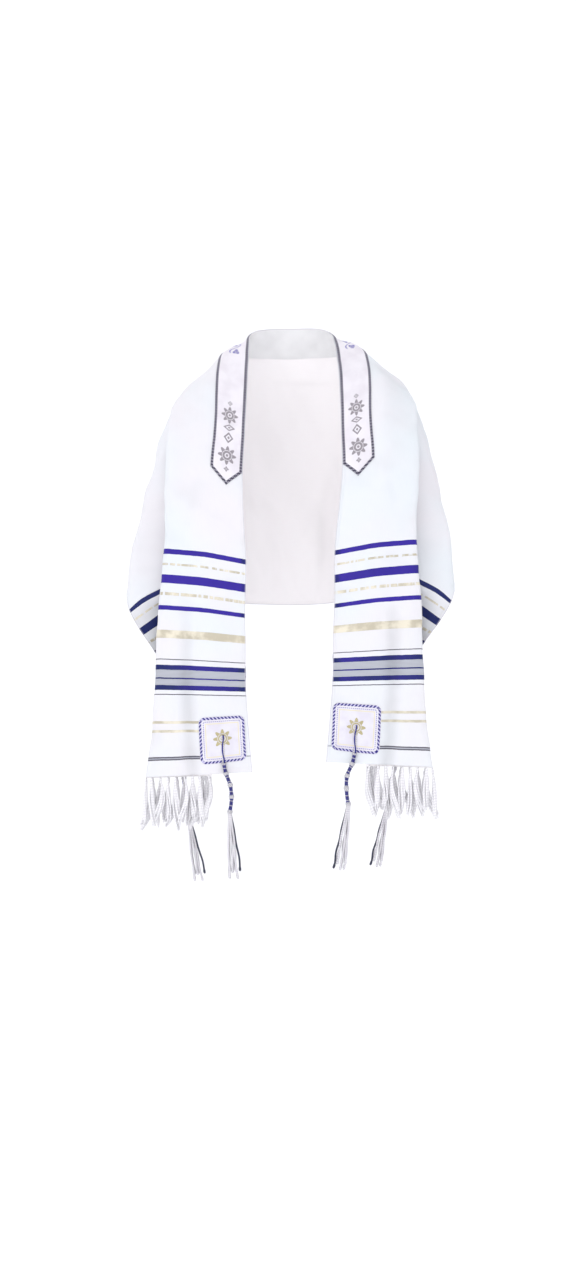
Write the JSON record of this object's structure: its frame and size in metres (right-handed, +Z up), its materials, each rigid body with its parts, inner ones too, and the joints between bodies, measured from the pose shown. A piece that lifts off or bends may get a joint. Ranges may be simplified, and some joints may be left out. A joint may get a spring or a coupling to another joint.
{
  "type": "tallit prayer shawl",
  "caption": "Tallit prayer shawl in its worn shape with no wearer: striped cloth over the shoulders, pointed neckband, corner patches, knotted fringe and corner tassels.",
  "frame": {"origin": "in the middle of the wearer's neck, level with the top edge of the shawl at the nape, where the shoulders hold it", "axes": "+Z up, the front of the shawl faces -Y, +X to the viewer's right (the wearer's left)"},
  "size_m": [0.5604, 0.2985, 0.9715],
  "materials": {
    "cloth_white": "matte",
    "band_grey": "matte",
    "facing_grey": "matte",
    "patch_violet": "matte",
    "fringe_white": "matte",
    "tassel_blue": "matte"
  },
  "bodies": {
    "root": {"shawl_back": "cloth_white", "shawl_shoulder_left": "cloth_white", "shawl_shoulder_right": "cloth_white", "shawl_front_left": "cloth_white", "shawl_front_right": "cloth_white", "neckband": "band_grey", "neck_facing": "facing_grey", "patch_front_left": "patch_violet", "patch_front_right": "patch_violet", "patch_rear_left": "patch_violet", "patch_rear_right": "patch_violet", "fringe_left": "fringe_white", "fringe_right": "fringe_white", "tassel_front_left": "tassel_blue", "tassel_front_right": "tassel_blue", "tassel_rear_left": "tassel_blue", "tassel_rear_right": "tassel_blue"}
  },
  "joints": []
}
